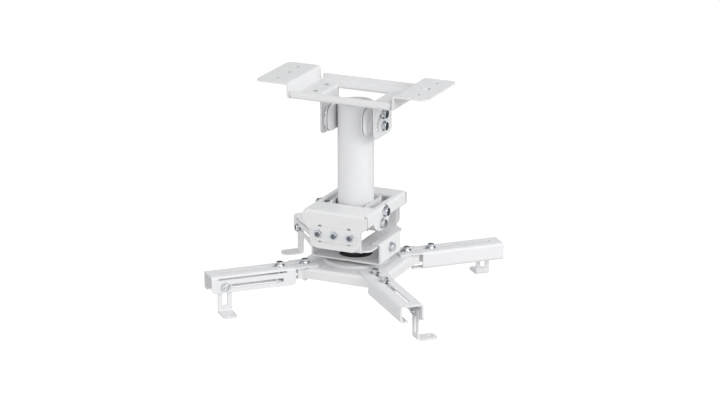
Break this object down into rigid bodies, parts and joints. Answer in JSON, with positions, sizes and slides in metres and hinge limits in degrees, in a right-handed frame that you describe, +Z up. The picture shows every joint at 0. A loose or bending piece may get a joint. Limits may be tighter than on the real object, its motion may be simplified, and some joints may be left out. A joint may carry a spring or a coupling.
{
  "type": "projector ceiling mount",
  "caption": "White ceiling mount: a folded ceiling plate, a tilting pole, a two-way tilting head and a turning spider with slotted arms that end in small feet.",
  "frame": {"origin": "middle of the face of the two ears that lies on the ceiling", "axes": "+Z up, out of the ceiling face; +X along the long side of the ceiling plate; -Y towards the front of the mount"},
  "size_m": [0.411, 0.411, 0.369],
  "materials": {
    "powder_coat": "satin",
    "zinc": "bright",
    "friction": "matte"
  },
  "bodies": {
    "ceiling": {"ceiling_plate": "powder_coat", "clevis_left": "powder_coat", "clevis_right": "powder_coat", "clevis_rivets": "zinc"},
    "pole": {"pole": "powder_coat", "upper_bracket": "powder_coat", "lower_bracket": "powder_coat", "upper_sleeves": "zinc", "lower_sleeves": "zinc", "tilt_bolt": "zinc", "tilt_lock_bolt": "zinc", "pitch_bolt": "zinc", "pitch_lock_bolt": "zinc"},
    "frame": {"pitch_frame": "powder_coat"},
    "roll": {"roll_bracket": "powder_coat", "roll_clamp_plate": "powder_coat", "roll_screws": "zinc", "rear_roll_screw": "zinc"},
    "channel": {"slide_channel": "powder_coat", "slide_lock_bolt": "zinc", "yaw_bolt": "zinc", "yaw_washer": "friction"},
    "spider": {"spider": "powder_coat", "spider_boss": "powder_coat", "friction_ring": "friction"},
    "clamp_back_right": {"arm_bolts_back_right": "zinc"},
    "arm_back_right": {"arm_back_right": "powder_coat"},
    "foot_back_right": {"foot_back_right": "powder_coat", "foot_screw_back_right": "zinc"},
    "clamp_back_left": {"arm_bolts_back_left": "zinc"},
    "arm_back_left": {"arm_back_left": "powder_coat"},
    "foot_back_left": {"foot_back_left": "powder_coat", "foot_screw_back_left": "zinc"},
    "clamp_front_left": {"arm_bolts_front_left": "zinc"},
    "arm_front_left": {"arm_front_left": "powder_coat"},
    "foot_front_left": {"foot_front_left": "powder_coat", "foot_screw_front_left": "zinc"},
    "clamp_front_right": {"arm_bolts_front_right": "zinc"},
    "arm_front_right": {"arm_front_right": "powder_coat"},
    "foot_front_right": {"foot_front_right": "powder_coat", "foot_screw_front_right": "zinc"}
  },
  "joints": [
    {"name": "tilt", "type": "hinge", "parent": "ceiling", "child": "pole", "pos_m": [0, 0, -0.0707], "axis": [1, 0, 0], "range_deg": [0, 90]},
    {"name": "pitch", "type": "hinge", "parent": "pole", "child": "frame", "pos_m": [0, -0.022, -0.2295], "axis": [1, 0, 0], "range_deg": [-6, 12]},
    {"name": "roll", "type": "hinge", "parent": "frame", "child": "roll", "pos_m": [0, 0, -0.24], "axis": [0, 1, 0], "range_deg": [-12, 12]},
    {"name": "slide", "type": "slide", "parent": "roll", "child": "channel", "axis": [0, 1, 0], "range_m": [-0.014, 0.014]},
    {"name": "yaw", "type": "hinge", "parent": "channel", "child": "spider", "pos_m": [0, 0, -0.3], "axis": [0, 0, 1], "range_deg": [-180, 180]},
    {"name": "swing_back_right", "type": "hinge", "parent": "spider", "child": "clamp_back_right", "pos_m": [0.0635, 0.0635, -0.3], "axis": [0, 0, 1], "range_deg": [-5, 5]},
    {"name": "reach_back_right", "type": "slide", "parent": "clamp_back_right", "child": "arm_back_right", "axis": [0.7071, 0.7071, 0], "range_m": [-0.01, 0.012]},
    {"name": "foot_slide_back_right", "type": "slide", "parent": "arm_back_right", "child": "foot_back_right", "axis": [0.7071, 0.7071, 0], "range_m": [-0.072, 0.002]},
    {"name": "swing_back_left", "type": "hinge", "parent": "spider", "child": "clamp_back_left", "pos_m": [-0.0635, 0.0635, -0.3], "axis": [0, 0, 1], "range_deg": [-5, 5]},
    {"name": "reach_back_left", "type": "slide", "parent": "clamp_back_left", "child": "arm_back_left", "axis": [-0.7071, 0.7071, 0], "range_m": [-0.01, 0.012]},
    {"name": "foot_slide_back_left", "type": "slide", "parent": "arm_back_left", "child": "foot_back_left", "axis": [-0.7071, 0.7071, 0], "range_m": [-0.072, 0.002]},
    {"name": "swing_front_left", "type": "hinge", "parent": "spider", "child": "clamp_front_left", "pos_m": [-0.0635, -0.0635, -0.3], "axis": [0, 0, 1], "range_deg": [-5, 5]},
    {"name": "reach_front_left", "type": "slide", "parent": "clamp_front_left", "child": "arm_front_left", "axis": [-0.7071, -0.7071, 0], "range_m": [-0.01, 0.012]},
    {"name": "foot_slide_front_left", "type": "slide", "parent": "arm_front_left", "child": "foot_front_left", "axis": [-0.7071, -0.7071, 0], "range_m": [-0.072, 0.002]},
    {"name": "swing_front_right", "type": "hinge", "parent": "spider", "child": "clamp_front_right", "pos_m": [0.0635, -0.0635, -0.3], "axis": [0, 0, 1], "range_deg": [-5, 5]},
    {"name": "reach_front_right", "type": "slide", "parent": "clamp_front_right", "child": "arm_front_right", "axis": [0.7071, -0.7071, 0], "range_m": [-0.01, 0.012]},
    {"name": "foot_slide_front_right", "type": "slide", "parent": "arm_front_right", "child": "foot_front_right", "axis": [0.7071, -0.7071, 0], "range_m": [-0.072, 0.002]}
  ]
}
